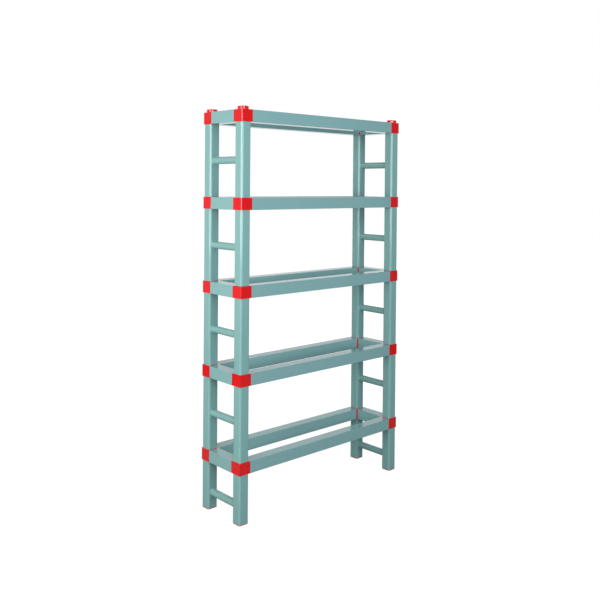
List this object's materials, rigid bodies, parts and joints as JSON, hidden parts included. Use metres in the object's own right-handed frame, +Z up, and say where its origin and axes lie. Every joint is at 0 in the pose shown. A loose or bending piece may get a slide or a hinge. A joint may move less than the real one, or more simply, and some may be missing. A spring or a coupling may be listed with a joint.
{
  "type": "ball rack",
  "caption": "Free-standing open rack of push-fitted box rails, corner connectors and rung side frames, with slots between front and rear rails that hold rows of balls.",
  "frame": {"origin": "centre of the rack's footprint, on the floor", "axes": "+X along the long rails to the right as seen from the front, +Y from the front to the rear, +Z up"},
  "size_m": [1, 0.276, 1.7638],
  "materials": {
    "connector_plastic": "red injection-moulded plastic, semi-gloss",
    "rail_plastic": "grey-green extruded plastic, satin",
    "side_frame_plastic": "grey-green moulded plastic, semi-gloss"
  },
  "bodies": {
    "root": {"connector_1_front_left": "connector_plastic", "connector_1_front_right": "connector_plastic", "connector_1_rear_right": "connector_plastic", "connector_1_rear_left": "connector_plastic", "rail_1_front": "rail_plastic", "rail_1_rear": "rail_plastic", "rail_1_left": "rail_plastic", "rail_1_right": "rail_plastic", "connector_2_front_left": "connector_plastic", "connector_2_front_right": "connector_plastic", "connector_2_rear_right": "connector_plastic", "connector_2_rear_left": "connector_plastic", "rail_2_front": "rail_plastic", "rail_2_rear": "rail_plastic", "rail_2_left": "rail_plastic", "rail_2_right": "rail_plastic", "connector_3_front_left": "connector_plastic", "connector_3_front_right": "connector_plastic", "connector_3_rear_right": "connector_plastic", "connector_3_rear_left": "connector_plastic", "rail_3_front": "rail_plastic", "rail_3_rear": "rail_plastic", "rail_3_left": "rail_plastic", "rail_3_right": "rail_plastic", "connector_4_front_left": "connector_plastic", "connector_4_front_right": "connector_plastic", "connector_4_rear_right": "connector_plastic", "connector_4_rear_left": "connector_plastic", "rail_4_front": "rail_plastic", "rail_4_rear": "rail_plastic", "rail_4_left": "rail_plastic", "rail_4_right": "rail_plastic", "connector_5_front_left": "connector_plastic", "connector_5_front_right": "connector_plastic", "connector_5_rear_right": "connector_plastic", "connector_5_rear_left": "connector_plastic", "rail_5_front": "rail_plastic", "rail_5_rear": "rail_plastic", "rail_5_left": "rail_plastic", "rail_5_right": "rail_plastic", "side_frame_legs_left": "side_frame_plastic", "side_frame_1_left": "side_frame_plastic", "side_frame_2_left": "side_frame_plastic", "side_frame_3_left": "side_frame_plastic", "side_frame_4_left": "side_frame_plastic", "side_frame_legs_right": "side_frame_plastic", "side_frame_1_right": "side_frame_plastic", "side_frame_2_right": "side_frame_plastic", "side_frame_3_right": "side_frame_plastic", "side_frame_4_right": "side_frame_plastic", "foot_cap_front_left": "connector_plastic", "foot_cap_front_right": "connector_plastic", "foot_cap_rear_right": "connector_plastic", "foot_cap_rear_left": "connector_plastic"}
  },
  "joints": []
}
